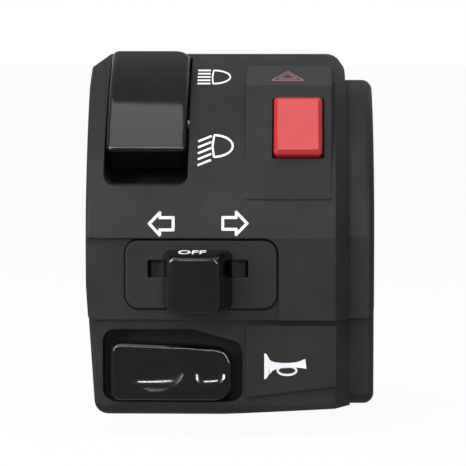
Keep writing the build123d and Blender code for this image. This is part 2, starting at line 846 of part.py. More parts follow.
# Beam switch
with BuildPart() as beam_rocker:
    with BuildSketch(rocker_side.offset(-rocker_width / 2)) as cap_side:
        with BuildLine():
            crest = SagittaArc(
                (-rocker_down_length, rocker_edge_height),
                (rocker_up_length, rocker_edge_height + rocker_head_rise),
                rocker_crown,
            )
            Polyline(
                crest @ 1,
                (rocker_up_length - rocker_head_tuck, rocker_edge_height - rocker_head_skirt),
                (-rocker_down_length - rocker_foot_flare, rocker_edge_height - rocker_skirt),
                crest @ 0,
            )
        make_face()
    extrude(cap_side.sketch, amount=rocker_width)
    corners = beam_rocker.edges().filter_by(GeomType.LINE).filter_by(Axis.X, reverse=True)
    head_corners = corners.group_by(Axis.Z)[-1].sort_by(Axis.X)
    fillet(head_corners[0], radius=rocker_corner_small)
    fillet(head_corners[-1], radius=rocker_corner_large)
    foot_corners = corners.group_by(Axis.Z)[0]
    fillet(foot_corners, radius=rocker_corner_small)
    face_edges = beam_rocker.faces().filter_by(GeomType.CYLINDER).sort_by(SortBy.AREA)[-1].edges()
    fillet(face_edges, radius=rocker_edge_radius)
    inner_foot = -rocker_down_length + rocker_wall
    inner_head = rocker_up_length - rocker_head_tuck - rocker_wall
    inner_roof = rocker_edge_height - rocker_wall
    with BuildSketch(rocker_side.offset(-rocker_width / 2 + rocker_wall)) as hollow:
        with BuildLine():
            roof = SagittaArc((inner_foot, inner_roof), (inner_head, inner_roof), rocker_crown)
            Polyline(roof @ 1, (inner_head, -rocker_skirt), (inner_foot, -rocker_skirt), roof @ 0)
        make_face()
    extrude(hollow.sketch, amount=rocker_width - 2 * rocker_wall, mode=Mode.SUBTRACT)
    for side in (-1, 1):
        with BuildSketch(rocker_side.offset(side * (rocker_width / 2 - rocker_wall))) as lobe:
            Circle(pivot_lobe_radius)
            with Locations((0, rocker_edge_height / 2)):
                Rectangle(2 * pivot_lobe_radius, rocker_edge_height)
        extrude(lobe.sketch, amount=side * rocker_wall)
    post_between(rocker_plane, 0, 0, plunger_radius + plunger_boss_wall, plunger_boss_low,
                 rocker_edge_height)
    post_between(rocker_plane, 0, 0, plunger_radius + fit_gap, plunger_boss_low, plunger_bore_top,
                 Mode.SUBTRACT)
    post_between(rocker_side, 0, 0, rocker_pin_radius + fit_gap, -overrun, overrun, Mode.SUBTRACT)
finish(beam_rocker, "beam_rocker")

with BuildPart() as rocker_pins:
    for side in (-1, 1):
        inner = side * (rocker_width / 2 - rocker_wall)
        outer = side * (recess_right + rocker_pin_bite)
        post_between(rocker_side, 0, 0, rocker_pin_radius, inner, outer)
finish(rocker_pins, "rocker_pins")

with BuildPart() as rocker_plunger:
    post_between(rocker_plane, 0, 0, plunger_radius, -plunger_reach, -plunger_reach + plunger_length)
    fillet(rocker_plunger.edges().sort_by(Axis.Z)[0], radius=plunger_radius * plunger_tip_share)
finish(rocker_plunger, "rocker_plunger")

with BuildPart() as rocker_spring:
    coil(rocker_plane, plunger_spring_radius, spring_wire_radius, spring_pitch,
         -plunger_reach + plunger_length, plunger_bore_top)
finish(rocker_spring, "rocker_spring")

with BuildPart() as beam_base:
    half_x = beam_base_width / 2
    half_y = beam_base_length / 2
    box_between(rocker_plane, -half_x, half_x, -half_y, half_y, beam_base_back, bath_back)
    box_between(rocker_plane, -half_x + tray_wall, half_x - tray_wall, -half_y + tray_wall,
                half_y - tray_wall,
                beam_tray_floor, bath_back, Mode.SUBTRACT)
    tray_ears(rocker_plane, beam_ear_places, bath_back)
    for y in beam_terminal_places:
        box_between(rocker_plane, -terminal_width / 2, terminal_width / 2, y - terminal_width / 2,
                    y + terminal_width / 2, beam_base_back, beam_tray_floor, Mode.SUBTRACT)
finish(beam_base, "beam_base")

with BuildPart() as beam_terminals:
    for y in beam_terminal_places:
        box_between(rocker_plane, -terminal_width / 2, terminal_width / 2, y - terminal_width / 2,
                    y + terminal_width / 2, beam_base_back - terminal_tail, beam_terminal_top)
finish(beam_terminals, "beam_terminals")

# The see-saw strip rests on the middle terminal
with BuildPart() as beam_contact:
    reach = beam_base_length / 2 - tray_wall - case_gap
    box_between(rocker_plane, -beam_contact_width / 2, beam_contact_width / 2, -reach, reach,
                beam_contact_top - contact_thickness, beam_contact_top)
finish(beam_contact, "beam_contact")

# Hazard switch
with BuildPart() as hazard_button:
    with BuildSketch(hazard_plane.offset(hazard_cap_back)) as cap:
        RectangleRounded(hazard_width, hazard_length, hazard_corner_radius)
    extrude(cap.sketch, amount=hazard_cap_depth)
    outward = Axis(hazard_plane.origin, hazard_plane.z_dir)
    chamfer(hazard_button.faces().sort_by(outward)[-1].edges(), length=hazard_rim)
finish(hazard_button, "hazard_button")

with BuildPart() as hazard_body:
    half_x = hazard_body_width / 2
    half_y = hazard_body_length / 2
    box_between(hazard_plane, -half_x, half_x, -half_y, half_y, hazard_body_back, -hazard_shoulder)
    box_between(hazard_plane, -half_x + hazard_body_wall, half_x - hazard_body_wall,
                -half_y + hazard_body_wall,
                half_y - hazard_body_wall, hazard_tray_floor, -hazard_shoulder, Mode.SUBTRACT)
    tray_ears(hazard_plane, hazard_ear_places, -hazard_block_depth)
    for x in hazard_terminal_places:
        box_between(hazard_plane, x - terminal_width / 2, x + terminal_width / 2,
                    hazard_contact_offset - terminal_width / 2, hazard_contact_offset + terminal_width / 2,
                    hazard_body_back, hazard_tray_floor, Mode.SUBTRACT)
finish(hazard_body, "hazard_body")

with BuildPart() as hazard_terminals:
    for x in hazard_terminal_places:
        box_between(hazard_plane, x - terminal_width / 2, x + terminal_width / 2,
                    hazard_contact_offset - terminal_width / 2, hazard_contact_offset + terminal_width / 2,
                    hazard_body_back - terminal_tail, hazard_terminal_top)
finish(hazard_terminals, "hazard_terminals")

with BuildPart() as hazard_contact:
    box_between(hazard_plane, -hazard_contact_length / 2, hazard_contact_length / 2,
                hazard_contact_offset - hazard_contact_width / 2,
                hazard_contact_offset + hazard_contact_width / 2,
                hazard_contact_back, hazard_cap_back)
finish(hazard_contact, "hazard_contact")

with BuildPart() as hazard_spring:
    spring_plane = Plane(origin=hazard_spring_seat, x_dir=hazard_plane.x_dir, z_dir=hazard_plane.z_dir)
    coil(spring_plane, button_spring_radius, button_spring_wire_radius, button_spring_pitch,
         0, hazard_cap_back - hazard_tray_floor)
finish(hazard_spring, "hazard_spring")

# Turn signal slide
with BuildPart() as turn_plate:
    with BuildSketch(front_plane.offset(plate_back)) as plate:
        with Locations((plate_x, plate_rise)):
            RectangleRounded(plate_width, plate_height, plate_corner_radius)
    extrude(plate.sketch, amount=plate_front - plate_back)
    fillet(turn_plate.faces().sort_by(Axis.Y)[0].edges(), radius=plate_edge_radius)
    with BuildSketch(front_plane.offset(plate_back)) as slot:
        with Locations((slot_x, slot_rise)):
            RectangleRounded(slot_length, slot_height, slot_corner_radius)
    extrude(slot.sketch, amount=overrun, mode=Mode.SUBTRACT)
finish(turn_plate, "turn_plate")

with BuildPart() as turn_slider:
    slide_plane = Plane(origin=(slot_x, 0, slot_rise), x_dir=(1, 0, 0), z_dir=(0, -1, 0))
    box_between(slide_plane, -neck_length / 2, neck_length / 2, -neck_height / 2, neck_height / 2,
                flange_front, plate_front - neck_drop)
    box_between(slide_plane, -flange_length / 2, flange_length / 2, -flange_height / 2, flange_height / 2,
                flange_back, flange_front)
    box_between(slide_plane, -slider_body_length / 2, slider_body_length / 2, -slider_body_height / 2,
                slider_body_height / 2, slider_back, flange_back)
    box_between(slide_plane, -knob_stem_width / 2 - fit_gap, knob_stem_width / 2 + fit_gap,
                -knob_stem_height / 2 - fit_gap, knob_stem_height / 2 + fit_gap,
                knob_stem_end - turn_push - slide_gap, overrun, Mode.SUBTRACT)
    post_between(slide_plane, 0, 0, cancel_bore_radius, cancel_spring_back, front_depth, Mode.SUBTRACT)
    post_between(slide_plane, detent_shift, 0, detent_ball_radius + fit_gap, slider_back,
                 slider_back + detent_bore_depth, Mode.SUBTRACT)
finish(turn_slider, "turn_slider")

with BuildPart() as turn_knob:
    knob_plane = Plane(origin=(slot_x, 0, knob_rise), x_dir=(1, 0, 0), z_dir=(0, -1, 0))
    with BuildSketch(knob_plane.offset(knob_back)) as knob_foot:
        RectangleRounded(knob_base_width, knob_base_height, knob_corner_radius)
    with BuildSketch(knob_plane.offset(knob_back + knob_height + knob_crown)) as knob_head:
        with Locations((knob_front_shift, 0)):
            RectangleRounded(knob_front_width, knob_front_height, knob_corner_radius)
    loft([knob_foot.sketch, knob_head.sketch], ruled=True)
    with BuildSketch(Plane(origin=(slot_x, 0, -half_height), x_dir=(1, 0, 0), z_dir=(0, 0, 1))) as crown:
        with BuildLine():
            knob_edge = knob_back + knob_height
            bow = ThreePointArc(
                (-knob_base_width / 2, -knob_edge), (0, -knob_edge - knob_crown), (knob_base_width / 2,
                                                                                   -knob_edge)
            )
            Polyline(bow @ 1, (knob_base_width / 2, 0), (-knob_base_width / 2, 0), bow @ 0)
        make_face()
    extrude(crown.sketch, amount=2 * half_height, mode=Mode.INTERSECT)
    fillet(turn_knob.faces().sort_by(Axis.Y)[0].edges(), radius=knob_edge_radius)
    box_between(slide_plane, -knob_stem_width / 2, knob_stem_width / 2, -knob_stem_height / 2,
                knob_stem_height / 2, knob_stem_end, knob_back)
finish(turn_knob, "turn_knob")

with BuildPart() as turn_cancel_spring:
    coil(slide_plane, cancel_spring_radius, spring_wire_radius, spring_pitch, cancel_spring_back,
         knob_stem_end)
finish(turn_cancel_spring, "turn_cancel_spring")

detent_plane = Plane(origin=(slot_x + detent_shift, 0, slot_rise), x_dir=(1, 0, 0), z_dir=(0, -1, 0))
with BuildPart() as turn_detent_ball:
    with Locations(local_point(detent_plane, 0, 0, ball_depth)):
        Sphere(detent_ball_radius)
finish(turn_detent_ball, "turn_detent_ball")

with BuildPart() as turn_detent_spring:
    coil(detent_plane, detent_spring_radius, spring_wire_radius, spring_pitch,
         ball_depth + detent_ball_radius, slider_back + detent_bore_depth)
finish(turn_detent_spring, "turn_detent_spring")

with BuildPart() as turn_contact:
    box_between(slide_plane, contact_shift - turn_contact_length / 2,
                contact_shift + turn_contact_length / 2,
                -turn_contact_height / 2, turn_contact_height / 2, turn_contact_back, slider_back)
finish(turn_contact, "turn_contact")

with BuildPart() as turn_base:
    half_x = turn_base_length / 2
    half_y = turn_base_height / 2
    box_between(slide_plane, -half_x, half_x, -half_y, half_y, turn_base_back, pad_back)
    box_between(slide_plane, -half_x + turn_base_wall, half_x - turn_base_wall, -half_y + turn_base_wall,
                half_y - turn_base_wall, turn_floor_top, pad_back, Mode.SUBTRACT)
    tray_ears(front_plane, turn_ear_places, pad_back)
    for step in (-1, 0, 1):
        x = contact_shift + step * turn_travel
        box_between(slide_plane, x - terminal_width / 2, x + terminal_width / 2, -terminal_width / 2,
                    terminal_width / 2, turn_base_back, turn_floor_top, Mode.SUBTRACT)
        dimple_depth = turn_floor_top + detent_dimple_radius - detent_dimple_depth
        with Locations(local_point(detent_plane, step * turn_travel, 0, dimple_depth)):
            Sphere(detent_dimple_radius, mode=Mode.SUBTRACT)
finish(turn_base, "turn_base")

with BuildPart() as turn_terminals:
    for step in (-1, 0, 1):
        x = contact_shift + step * turn_travel
        box_between(slide_plane, x - terminal_width / 2, x + terminal_width / 2, -terminal_width / 2,
                    terminal_width / 2, turn_base_back - terminal_tail, turn_contact_back - contact_drop)
finish(turn_terminals, "turn_terminals")

# Horn switch
with BuildPart() as horn_button:
    with BuildSketch(front_plane.offset(horn_back)) as pad:
        with BuildLine():
            Polyline(
                (horn_left, horn_low),
                (horn_left, horn_top),
                (horn_x + horn_stem_width / 2, horn_top - horn_right_tuck / 2),
                (horn_right, horn_top - horn_right_tuck),
                (horn_right, horn_low),
                close=True,
            )
        make_face()
        fillet(pad.vertices().group_by(Axis.X)[0], radius=horn_left_radius)
        fillet(pad.vertices().group_by(Axis.X)[-1], radius=horn_right_radius)
    extrude(pad.sketch, amount=horn_thickness)
    fillet(horn_button.faces().sort_by(Axis.Y)[0].edges(), radius=horn_edge_radius)
    with BuildSketch(Plane(origin=(horn_dish_x, -horn_front - horn_dish_lift, horn_middle))) as dish:
        Ellipse(horn_dish_long, horn_dish_short)
        with Locations((0, horn_dish_short)):
            Rectangle(2 * horn_dish_long, 2 * horn_dish_short, mode=Mode.SUBTRACT)
    revolve(dish.sketch, axis=Axis((horn_dish_x, -horn_front - horn_dish_lift, horn_middle), (1, 0, 0)),
            mode=Mode.SUBTRACT)
    with Locations((horn_dimple_x, -horn_front - horn_dimple_ball + horn_dimple_depth, horn_middle)):
        Sphere(horn_dimple_ball, mode=Mode.SUBTRACT)
    box_between(horn_plane, -horn_stem_width / 2, horn_stem_width / 2, -horn_stem_height / 2,
                horn_stem_height / 2,
                horn_stem_end, horn_back)
finish(horn_button, "horn_button")

with BuildPart() as horn_contact:
    reach = horn_base_width / 2 - tray_wall - 2 * case_gap
    box_between(horn_plane, -reach, reach, -terminal_width, terminal_width, horn_contact_back,
                horn_stem_end)
finish(horn_contact, "horn_contact")

with BuildPart() as horn_base:
    half_x = horn_base_width / 2
    half_y = horn_base_height / 2
    box_between(horn_plane, -half_x, half_x, -half_y, half_y, horn_base_back, horn_base_front)
    box_between(horn_plane, -half_x + tray_wall, half_x - tray_wall, -half_y + tray_wall,
                half_y - tray_wall,
                horn_tray_floor, horn_base_front, Mode.SUBTRACT)
    tray_ears(horn_plane, horn_ear_places, horn_base_front)
    for x in horn_terminal_places:
        box_between(horn_plane, x - terminal_width / 2, x + terminal_width / 2, -terminal_width / 2,
                    terminal_width / 2, horn_base_back, horn_tray_floor, Mode.SUBTRACT)
finish(horn_base, "horn_base")

with BuildPart() as horn_terminals:
    for x in horn_terminal_places:
        box_between(horn_plane, x - terminal_width / 2, x + terminal_width / 2, -terminal_width / 2,
                    terminal_width / 2, horn_base_back - terminal_tail, horn_terminal_top)
finish(horn_terminals, "horn_terminals")

with BuildPart() as horn_spring:
    coil(horn_plane, button_spring_radius, button_spring_wire_radius, button_spring_pitch,
         horn_tray_floor, horn_contact_back)
finish(horn_spring, "horn_spring")
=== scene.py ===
"""Looks of the left-hand handlebar switch cluster: finishes, printed markings, light and camera.

Metres, in the frame of the solids: X to the right along the bar, Y away from the rider, Z up.
Printed markings are given in millimetres, as (x, z) on the front.
"""

import json
from math import atan2, cos, radians, sin

import bpy
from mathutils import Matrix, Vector


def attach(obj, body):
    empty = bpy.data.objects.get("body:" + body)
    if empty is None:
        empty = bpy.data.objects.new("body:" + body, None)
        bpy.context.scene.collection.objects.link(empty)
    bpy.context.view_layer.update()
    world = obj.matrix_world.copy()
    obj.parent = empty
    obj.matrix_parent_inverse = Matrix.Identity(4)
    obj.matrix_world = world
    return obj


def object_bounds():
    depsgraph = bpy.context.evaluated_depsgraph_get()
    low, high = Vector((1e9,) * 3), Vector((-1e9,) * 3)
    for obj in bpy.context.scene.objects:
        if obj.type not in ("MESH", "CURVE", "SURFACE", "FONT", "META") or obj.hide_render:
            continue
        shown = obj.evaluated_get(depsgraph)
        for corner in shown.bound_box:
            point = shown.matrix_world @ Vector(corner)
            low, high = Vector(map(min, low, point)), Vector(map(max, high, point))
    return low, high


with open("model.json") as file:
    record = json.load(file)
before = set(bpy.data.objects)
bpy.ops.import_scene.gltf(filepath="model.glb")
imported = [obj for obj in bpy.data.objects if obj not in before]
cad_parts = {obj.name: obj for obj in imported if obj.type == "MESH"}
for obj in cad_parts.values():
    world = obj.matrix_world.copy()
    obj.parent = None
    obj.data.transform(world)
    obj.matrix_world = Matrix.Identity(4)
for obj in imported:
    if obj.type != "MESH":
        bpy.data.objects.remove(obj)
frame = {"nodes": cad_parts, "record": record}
solid_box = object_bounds()
scene = bpy.context.scene

# Camera, floor and world
MM = 0.001
CAMERA_TARGET = Vector((3.1, -31.0, 1.0)) * MM
CAMERA_DISTANCE = 500 * MM
CAMERA_AZIMUTH = radians(1.5)
CAMERA_ELEVATION = radians(5.0)
VIEW_WIDTH = 88.54 * MM
SENSOR_WIDTH = 36.0
FLOOR_GAP = 0.2 * MM
FLOOR_HEIGHT = solid_box[0][2] - FLOOR_GAP
FLOOR_SIZE = 6.0
FLOOR_WHITENESS = 0.96
WORLD_LEVEL = 0.16

# Surfaces and ink
EDGE_SHADING = 0.25 * MM
EDGE_SAMPLES = 4
INK_THICKNESS = 0.05 * MM
INK_LIFT = 0.01 * MM
SECOND_INK_LIFT = 2 * INK_LIFT + INK_THICKNESS / 2
PRINT_FRONT = -60 * MM
PRINT_CUTS = 5
CORNER_RUN_ON = 0.35
CURVE_RUN_ON = 0.1

# Colour sockets of a Mix node, by number because its other kinds share their names
MIX_FIRST = 6
MIX_SECOND = 7
MIX_RESULT = 2


# Node helpers
def new_finish(name):
    """A new material with its shader, its node tree and its object coordinates."""
    material = bpy.data.materials.new(name)
    material.use_nodes = True
    tree = material.node_tree
    shader = tree.nodes["Principled BSDF"]
    place = tree.nodes.new("ShaderNodeTexCoord").outputs["Object"]
    return material, tree, shader, place


def noise(tree, place, size, detail=3.0, stretch=(1, 1, 1)):
    """Noise whose patches are about size metres across, from 0 to 1."""
    mapping = tree.nodes.new("ShaderNodeMapping")
    mapping.inputs["Scale"].default_value = stretch
    tree.links.new(place, mapping.inputs["Vector"])
    node = tree.nodes.new("ShaderNodeTexNoise")
    node.inputs["Scale"].default_value = 1 / size
    node.inputs["Detail"].default_value = detail
    tree.links.new(mapping.outputs["Vector"], node.inputs["Vector"])
    return node.outputs["Fac"]


def spread(tree, value, low=0, high=1, start=0.3, end=0.7):
    """value from start to end becomes low to high."""
    node = tree.nodes.new("ShaderNodeMapRange")
    node.inputs["From Min"].default_value = start
    node.inputs["From Max"].default_value = end
    node.inputs["To Min"].default_value = low
    node.inputs["To Max"].default_value = high
    tree.links.new(value, node.inputs["Value"])
    return node.outputs["Result"]


def calculate(tree, operation, first, second):
    """A math node on two sockets."""
    node = tree.nodes.new("ShaderNodeMath")
    node.operation = operation
    tree.links.new(first, node.inputs[0])
    tree.links.new(second, node.inputs[1])
    return node.outputs["Value"]


def blend_colours(tree, factor, first, second):
    """first where factor is 0 and second where it is 1. Each is a colour or a socket."""
    node = tree.nodes.new("ShaderNodeMix")
    node.data_type = "RGBA"
    tree.links.new(factor, node.inputs["Factor"])
    for socket, colour in ((node.inputs[MIX_FIRST], first), (node.inputs[MIX_SECOND], second)):
        if isinstance(colour, tuple):
            socket.default_value = (*colour, 1)
        else:
            tree.links.new(colour, socket)
    return node.outputs[MIX_RESULT]


def soft_edges(tree):
    """The normal rounded over sharp edges, and how strongly a point is on such an edge, from 0 to 1."""
    rounded = tree.nodes.new("ShaderNodeBevel")
    rounded.samples = EDGE_SAMPLES
    rounded.inputs["Radius"].default_value = EDGE_SHADING
    geometry = tree.nodes.new("ShaderNodeNewGeometry")
    turn = tree.nodes.new("ShaderNodeVectorMath")
    turn.operation = "DOT_PRODUCT"
    tree.links.new(rounded.outputs["Normal"], turn.inputs[0])
    tree.links.new(geometry.outputs["Normal"], turn.inputs[1])
    edge = spread(tree, turn.outputs["Value"], low=1, high=0, start=0.8, end=0.98)
    return rounded.outputs["Normal"], edge


def bump(tree, height, depth, normal, strength=1.0):
    """The normal of a surface whose height runs over depth metres."""
    node = tree.nodes.new("ShaderNodeBump")
    node.inputs["Strength"].default_value = strength
    node.inputs["Distance"].default_value = depth
    tree.links.new(height, node.inputs["Height"])
    tree.links.new(normal, node.inputs["Normal"])
    return node.outputs["Normal"]


# Finishes
def case_plastic():
    """Black glass-filled plastic with a fine spark-eroded grain, rubbed smoother and paler on its edges."""
    deep_black = (0.018, 0.0185, 0.019)
    soft_black = (0.026, 0.0265, 0.027)
    glass_fleck = (0.042, 0.042, 0.044)
    rubbed_edge = (0.09, 0.09, 0.093)
    material, tree, shader, place = new_finish("case_plastic")
    normal, edge = soft_edges(tree)
    grain = noise(tree, place, size=0.16 * MM, detail=2.0)
    cloud = noise(tree, place, size=9 * MM)
    scuffs = noise(tree, place, size=0.8 * MM, detail=5.0, stretch=(1, 1, 0.3))
    plain = blend_colours(tree, spread(tree, cloud), deep_black, soft_black)
    flecks = spread(tree, grain, high=0.5, start=0.55, end=0.75)
    speckled = blend_colours(tree, flecks, plain, glass_fleck)
    wear = calculate(tree, "MULTIPLY", edge, spread(tree, scuffs, low=0.1, high=0.7, start=0.4))
    tree.links.new(blend_colours(tree, wear, speckled, rubbed_edge), shader.inputs["Base Color"])
    polish = spread(tree, wear, high=0.12, start=0, end=1)
    rough = calculate(tree, "SUBTRACT", spread(tree, cloud, low=0.5, high=0.58), polish)
    tree.links.new(rough, shader.inputs["Roughness"])
    tree.links.new(bump(tree, grain, depth=0.03 * MM, normal=normal), shader.inputs["Normal"])
    shader.inputs["Specular IOR Level"].default_value = 0.05
    return material


def gloss_plastic():
    """Polished black plastic of the buttons, with faint finger marks and hair scratches."""
    clean_black = (0.002, 0.002, 0.0022)
    marked_black = (0.0035, 0.0035, 0.0038)
    rubbed_edge = (0.012, 0.012, 0.013)
    material, tree, shader, place = new_finish("gloss_black_plastic")
    normal, edge = soft_edges(tree)
    marks = noise(tree, place, size=5 * MM, detail=4.0)
    scratches = noise(tree, place, size=0.25 * MM, detail=2.0, stretch=(0.1, 1, 1))
    colour = blend_colours(tree, spread(tree, marks), clean_black, marked_black)
    tree.links.new(blend_colours(tree, edge, colour, rubbed_edge), shader.inputs["Base Color"])
    scratched = spread(tree, scratches, high=0.06, start=0.6, end=0.8)
    rough = calculate(tree, "ADD", spread(tree, marks, low=0.07, high=0.12), scratched)
    tree.links.new(rough, shader.inputs["Roughness"])
    tree.links.new(bump(tree, marks, depth=0.03 * MM, normal=normal, strength=0.5), shader.inputs["Normal"])
    shader.inputs["Specular IOR Level"].default_value = 0.17
    return material


def red_plastic():
    """Red moulded plastic of the hazard button, deeper where it is thick and paler on the rubbed rim."""
    deep_red = (0.45, 0.013, 0.014)
    light_red = (0.52, 0.018, 0.019)
    rubbed_rim = (0.6, 0.05, 0.05)
    material, tree, shader, place = new_finish("red_button_plastic")
    normal, edge = soft_edges(tree)
    cloud = noise(tree, place, size=4 * MM)
    grain = noise(tree, place, size=0.12 * MM, detail=2.0)
    colour = blend_colours(tree, spread(tree, cloud), deep_red, light_red)
    tree.links.new(blend_colours(tree, edge, colour, rubbed_rim), shader.inputs["Base Color"])
    tree.links.new(spread(tree, cloud, low=0.3, high=0.38), shader.inputs["Roughness"])
    tree.links.new(bump(tree, grain, depth=0.008 * MM, normal=normal, strength=0.6), shader.inputs["Normal"])
    shader.inputs["Subsurface Weight"].default_value = 0.1
    shader.inputs["Subsurface Radius"].default_value = (0.9, 0.2, 0.2)
    shader.inputs["Subsurface Scale"].default_value = 0.5 * MM
    shader.inputs["Specular IOR Level"].default_value = 0.26
    return material


def base_plastic():
    """Dark moulded plastic of the inner switch bases, with flow lines from its gate."""
    dark_grey = (0.012, 0.012, 0.013)
    flow_grey = (0.02, 0.02, 0.021)
    rubbed_edge = (0.05, 0.05, 0.05)
    material, tree, shader, place = new_finish("switch_base_plastic")
    normal, edge = soft_edges(tree)
    flow = noise(tree, place, size=1.5 * MM, detail=4.0, stretch=(1, 0.25, 1))
    grain = noise(tree, place, size=0.1 * MM, detail=2.0)
    colour = blend_colours(tree, spread(tree, flow), dark_grey, flow_grey)
    tree.links.new(blend_colours(tree, edge, colour, rubbed_edge), shader.inputs["Base Color"])
    tree.links.new(spread(tree, flow, low=0.4, high=0.52), shader.inputs["Roughness"])
    tree.links.new(bump(tree, grain, depth=0.01 * MM, normal=normal), shader.inputs["Normal"])
    shader.inputs["Specular IOR Level"].default_value = 0.1
    return material


def zinc_steel():
    """Zinc-plated steel of the screws, pins and springs, drawn along one way and dulled in patches."""
    dull_zinc = (0.5, 0.51, 0.53)
    bright_zinc = (0.66, 0.66, 0.66)
    rubbed_edge = (0.8, 0.8, 0.8)
    material, tree, shader, place = new_finish("zinc_plated_steel")
    normal, edge = soft_edges(tree)
    drawn = noise(tree, place, size=0.08 * MM, stretch=(1, 0.1, 1))
    dull = noise(tree, place, size=1.6 * MM, detail=4.0)
    colour = blend_colours(tree, spread(tree, dull), dull_zinc, bright_zinc)
    tree.links.new(blend_colours(tree, edge, colour, rubbed_edge), shader.inputs["Base Color"])
    tree.links.new(spread(tree, dull, low=0.26, high=0.44), shader.inputs["Roughness"])
    tree.links.new(bump(tree, drawn, depth=0.006 * MM, normal=normal), shader.inputs["Normal"])
    shader.inputs["Metallic"].default_value = 1.0
    return material


def stamped_brass():
    """Stamped brass of the contacts and terminals, tarnished in spots."""
    tarnished_brass = (0.62, 0.43, 0.17)
    clean_brass = (0.8, 0.6, 0.28)
    sheared_edge = (0.9, 0.75, 0.45)
    material, tree, shader, place = new_finish("stamped_brass")
    normal, edge = soft_edges(tree)
    tarnish = noise(tree, place, size=0.9 * MM, detail=5.0)
    stamped = noise(tree, place, size=0.1 * MM, detail=2.0)
    colour = blend_colours(tree, spread(tree, tarnish), tarnished_brass, clean_brass)
    tree.links.new(blend_colours(tree, edge, colour, sheared_edge), shader.inputs["Base Color"])
    tree.links.new(spread(tree, tarnish, low=0.42, high=0.24), shader.inputs["Roughness"])
    tree.links.new(bump(tree, stamped, depth=0.006 * MM, normal=normal), shader.inputs["Normal"])
    shader.inputs["Metallic"].default_value = 1.0
    return material


def grommet_rubber():
    """Soft black rubber with a dusty bloom."""
    rubber_black = (0.014, 0.014, 0.014)
    dusty_black = (0.03, 0.03, 0.03)
    rubbed_edge = (0.05, 0.05, 0.05)
    material, tree, shader, place = new_finish("grommet_rubber")
    normal, edge = soft_edges(tree)
    bloom = noise(tree, place, size=2.5 * MM, detail=5.0)
    pores = noise(tree, place, size=0.2 * MM)
    colour = blend_colours(tree, spread(tree, bloom), rubber_black, dusty_black)
    tree.links.new(blend_colours(tree, edge, colour, rubbed_edge), shader.inputs["Base Color"])
    tree.links.new(spread(tree, bloom, low=0.66, high=0.82), shader.inputs["Roughness"])
    tree.links.new(bump(tree, pores, depth=0.02 * MM, normal=normal), shader.inputs["Normal"])
    shader.inputs["Specular IOR Level"].default_value = 0.35
    return material


def marking_ink(name, colour, faded):
    """Pad-printed ink, a little thin in places, so it follows the grain under it."""
    material, tree, shader, place = new_finish(name)
    thin = noise(tree, place, size=0.5 * MM, detail=4.0)
    grain = noise(tree, place, size=0.16 * MM, detail=2.0)
    inked = blend_colours(tree, spread(tree, thin, high=0.35, start=0.45, end=0.75), colour, faded)
    tree.links.new(inked, shader.inputs["Base Color"])
    tree.links.new(spread(tree, thin, low=0.45, high=0.6), shader.inputs["Roughness"])
    flat = tree.nodes.new("ShaderNodeNewGeometry").outputs["Normal"]
    tree.links.new(bump(tree, grain, depth=0.01 * MM, normal=flat), shader.inputs["Normal"])
    return material


finishes = {
    "black_case": case_plastic(),
    "gloss_black": gloss_plastic(),
    "red_button": red_plastic(),
    "dark_base": base_plastic(),
    "steel": zinc_steel(),
    "brass": stamped_brass(),
    "rubber": grommet_rubber(),
}
white_ink = marking_ink("white_marking_ink", colour=(0.84, 0.87, 0.92), faded=(0.62, 0.64, 0.68))
red_ink = marking_ink("red_marking_ink", colour=(0.2, 0.07, 0.07), faded=(0.11, 0.05, 0.05))

for subpart in frame["record"]["subparts"]:
    node = frame["nodes"][subpart["node"]]
    node.data.materials.clear()
    node.data.materials.append(finishes[subpart["material_slot"]])


# Printed markings
def deselect_all():
    bpy.ops.object.select_all(action="DESELECT")


def taper_bar(bar, share):
    """Scales the width of a new bar's right end by share."""
    bpy.ops.object.mode_set(mode="EDIT")
    bpy.ops.mesh.select_all(action="DESELECT")
    bpy.ops.object.mode_set(mode="OBJECT")
    for vertex in bar.data.vertices:
        vertex.select = vertex.co.x > 0
    bpy.ops.object.mode_set(mode="EDIT")
    bpy.ops.transform.resize(value=(1, share, 1))
    bpy.ops.object.mode_set(mode="OBJECT")


def add_bar(start, end, width, end_width=None):
    """A flat bar from start to end, given as (x, z) in millimetres, standing in front of the housing."""
    deselect_all()
    across = end[0] - start[0]
    rise = end[1] - start[1]
    length = (across**2 + rise**2) ** 0.5
    bpy.ops.mesh.primitive_plane_add(size=1)
    bar = bpy.context.object
    if end_width is not None:
        taper_bar(bar, end_width / width)
    bar.scale = (length * MM, width * MM, 1)
    bar.rotation_euler = (radians(90), -atan2(rise, across), 0)
    bar.location = ((start[0] + end[0]) / 2 * MM, PRINT_FRONT, (start[1] + end[1]) / 2 * MM)
    return bar


def add_line(points, width, closed=False, run_on=CORNER_RUN_ON):
    """Flat bars along points, each run on by a share of its width so that the corners close."""
    ends = points[1:] + points[:1] if closed else points[1:]
    bars = []
    for start, end in zip(points, ends):
        reach = Vector((end[0] - start[0], end[1] - start[1])).normalized() * width * run_on
        bar_start = (start[0] - reach.x, start[1] - reach.y)
        bar_end = (end[0] + reach.x, end[1] + reach.y)
        bars.append(add_bar(bar_start, bar_end, width))
    return bars


def join_bars(name, bars):
    """One marking from its bars, with its place in its mesh and enough vertices to follow a surface."""
    deselect_all()
    for bar in bars:
        bar.select_set(True)
    bpy.context.view_layer.objects.active = bars[0]
    if len(bars) > 1:
        bpy.ops.object.join()
    marking = bpy.context.object
    marking.name = name
    bpy.ops.object.transform_apply(location=True, rotation=True, scale=True)
    bpy.ops.object.mode_set(mode="EDIT")
    bpy.ops.mesh.select_all(action="SELECT")
    bpy.ops.mesh.subdivide(number_cuts=PRINT_CUTS)
    bpy.ops.object.mode_set(mode="OBJECT")
    return marking


